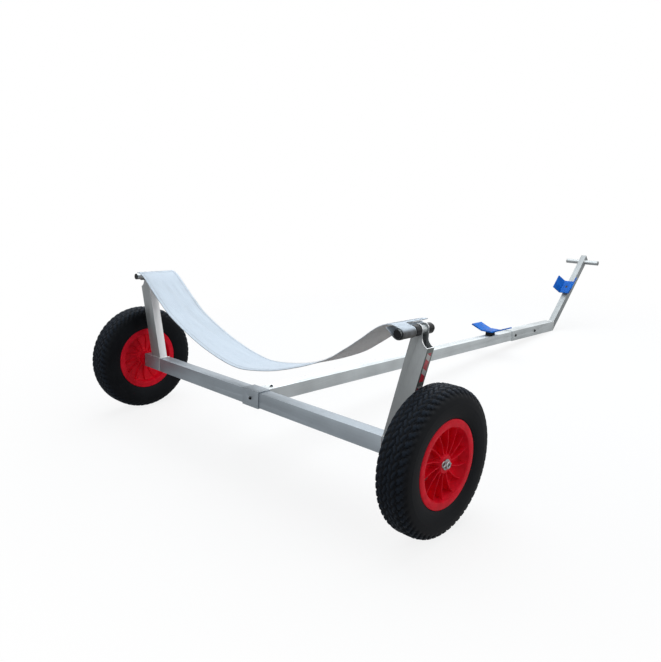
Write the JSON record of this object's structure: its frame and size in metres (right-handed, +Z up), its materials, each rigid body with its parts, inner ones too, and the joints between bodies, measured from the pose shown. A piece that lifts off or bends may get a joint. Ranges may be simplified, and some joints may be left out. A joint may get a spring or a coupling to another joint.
{
  "type": "dinghy launching trolley",
  "caption": "Two-wheeled hand trolley for a small sailing dinghy, with a hull sling hung between leaning uprights and a cranked drawbar with hull rests and a T-handle.",
  "frame": {"origin": "on the ground, midway between the wheels, half way between the back of the tyres and the tip of the riser", "axes": "+X to the right wheel, +Y from the wheels along the drawbar to the handle, +Z up; the trolley stands parked on its wheels and the bend of its drawbar"},
  "size_m": [1.517, 2.718, 0.5581],
  "materials": {
    "tube_aluminium": "satin anodised",
    "steel": "bright stainless",
    "black_plastic": "moulded, fine texture",
    "grey_plastic": "moulded",
    "rest_plastic": "smooth moulded",
    "block_rubber": "matt",
    "sling_fabric": "woven, coated",
    "tyre": "moulded block tread",
    "rim_plastic": "moulded",
    "valve_rubber": "smooth",
    "bush_plastic": "smooth"
  },
  "bodies": {
    "frame": {"crossbeam": "tube_aluminium", "axle_box_right": "tube_aluminium", "axle_box_left": "tube_aluminium", "axle_right": "steel", "axle_left": "steel", "upright_right": "tube_aluminium", "upright_left": "tube_aluminium", "tee_piece": "tube_aluminium", "tee_bolt": "black_plastic", "drawbar": "tube_aluminium", "drawbar_bolt": "black_plastic", "front_tube": "tube_aluminium", "front_bolts": "black_plastic", "riser": "tube_aluminium", "riser_cap": "grey_plastic", "handle_bar": "tube_aluminium", "handle_plugs": "black_plastic", "keel_block": "block_rubber", "keel_rest": "rest_plastic", "keel_screw": "steel", "bow_block": "block_rubber", "bow_rest": "rest_plastic", "bow_screw": "steel", "sling": "sling_fabric", "axle_washers_right": "steel", "axle_washers_left": "steel", "axle_clip_right": "steel", "axle_clip_left": "steel"},
    "right_wheel": {"tyre_right": "tyre", "rim_right": "rim_plastic", "valve_right": "valve_rubber", "hub_bushes_right": "bush_plastic"},
    "left_wheel": {"tyre_left": "tyre", "rim_left": "rim_plastic", "valve_left": "valve_rubber", "hub_bushes_left": "bush_plastic"},
    "right_sling_bar": {"sling_bar_right": "tube_aluminium", "bar_rings_right": "black_plastic", "bar_plugs_right": "black_plastic"},
    "left_sling_bar": {"sling_bar_left": "tube_aluminium", "bar_rings_left": "black_plastic", "bar_plugs_left": "black_plastic"}
  },
  "joints": [
    {"name": "wheel_right_spin", "type": "hinge", "parent": "frame", "child": "right_wheel", "pos_m": [0.711, -1.15902, 0.2], "axis": [1, 0, 0], "continuous": true},
    {"name": "wheel_left_spin", "type": "hinge", "parent": "frame", "child": "left_wheel", "pos_m": [-0.711, -1.15902, 0.2], "axis": [1, 0, 0], "continuous": true},
    {"name": "sling_bar_right_turn", "type": "hinge", "parent": "frame", "child": "right_sling_bar", "pos_m": [0.64459, -1.13477, 0.53113], "axis": [0, 0.9966, -0.082], "continuous": true},
    {"name": "sling_bar_left_turn", "type": "hinge", "parent": "frame", "child": "left_sling_bar", "pos_m": [-0.64459, -1.13477, 0.53113], "axis": [0, 0.9966, -0.082], "continuous": true}
  ]
}
